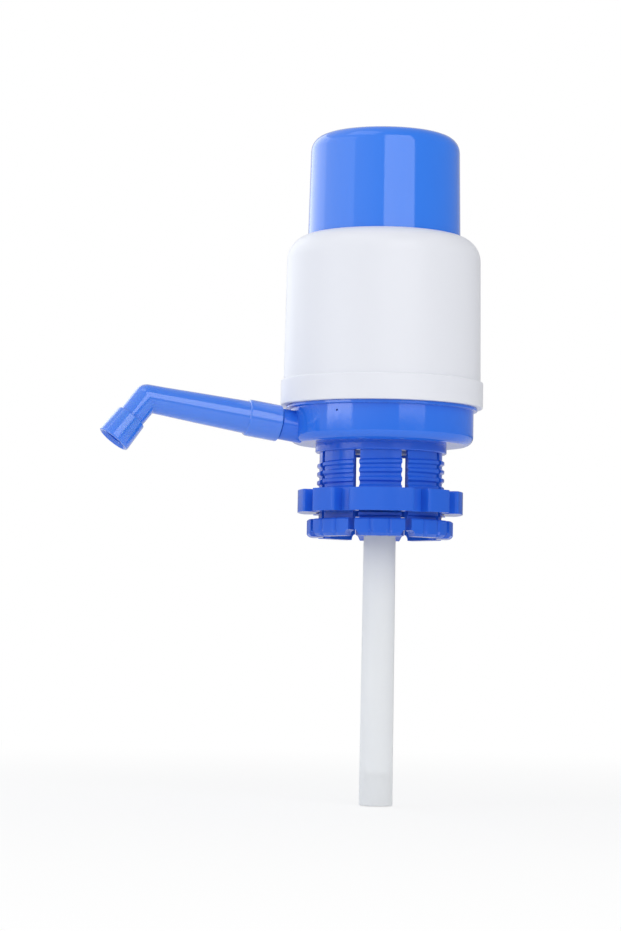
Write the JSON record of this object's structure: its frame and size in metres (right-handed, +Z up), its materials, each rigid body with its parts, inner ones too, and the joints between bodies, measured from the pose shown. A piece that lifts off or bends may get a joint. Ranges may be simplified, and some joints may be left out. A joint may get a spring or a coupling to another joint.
{
  "type": "water jug hand pump",
  "caption": "Hand press pump for a water jug: sprung cap over a bellows, swivelling bent spout, slotted neck clamp with lugged nut, and dip tube.",
  "frame": {"origin": "centre of the plane in which the jug's mouth meets the neck gasket, on the pump's axis", "axes": "+Z up the pump's axis towards the press cap; the spout leaves towards -X"},
  "size_m": [0.1903, 0.0994, 0.3282],
  "materials": {
    "blue_gloss": "glossy moulded blue plastic",
    "white_shell": "satin-gloss moulded white plastic",
    "natural_poly": "soft natural polythene",
    "clear_poly": "cloudy translucent polythene",
    "grey_rubber": "soft rubber",
    "seal_white": "white silicone rubber",
    "screw_steel": "plated screws"
  },
  "bodies": {
    "pump_body": {"sleeve": "white_shell", "bellows": "natural_poly", "bellows_clamp_ring": "blue_gloss", "valve_deck": "white_shell", "deck_gasket": "grey_rubber", "deck_screws": "screw_steel", "base_bowl": "blue_gloss", "riser_elbow": "white_shell", "riser_o_ring": "grey_rubber", "floor_o_ring": "grey_rubber", "spout_o_ring": "grey_rubber", "collet": "blue_gloss", "collet_screws": "screw_steel", "neck_gasket": "seal_white", "dip_tube": "clear_poly"},
    "cap": {"press_cap": "blue_gloss"},
    "nut": {"clamp_nut": "blue_gloss"},
    "spout": {"spout": "blue_gloss", "spout_nozzle": "blue_gloss"},
    "inlet_flap": {"inlet_valve": "grey_rubber"},
    "outlet_flap": {"outlet_valve": "grey_rubber"}
  },
  "joints": [
    {"name": "cap_press", "type": "slide", "parent": "pump_body", "child": "cap", "axis": [0, 0, -1], "range_m": [0, 0.045], "stiffness_N_per_m": 500, "springref_m": -0.01, "deforming": ["bellows"]},
    {"name": "nut_travel", "type": "slide", "parent": "pump_body", "child": "nut", "axis": [0, 0, 1], "range_m": [-0.0026, 0.0175]},
    {"name": "spout_swivel", "type": "hinge", "parent": "pump_body", "child": "spout", "pos_m": [-0.05212, 0, 0.01167], "axis": [-0.9898, 0, 0.1426], "continuous": true},
    {"name": "inlet_lift", "type": "slide", "parent": "pump_body", "child": "inlet_flap", "axis": [0, 0, 1], "range_m": [0, 0.0012], "stiffness_N_per_m": 20, "springref_m": -0.0003},
    {"name": "outlet_lift", "type": "slide", "parent": "pump_body", "child": "outlet_flap", "axis": [0, 0, -1], "range_m": [0, 0.0012], "stiffness_N_per_m": 20, "springref_m": -0.0003}
  ]
}
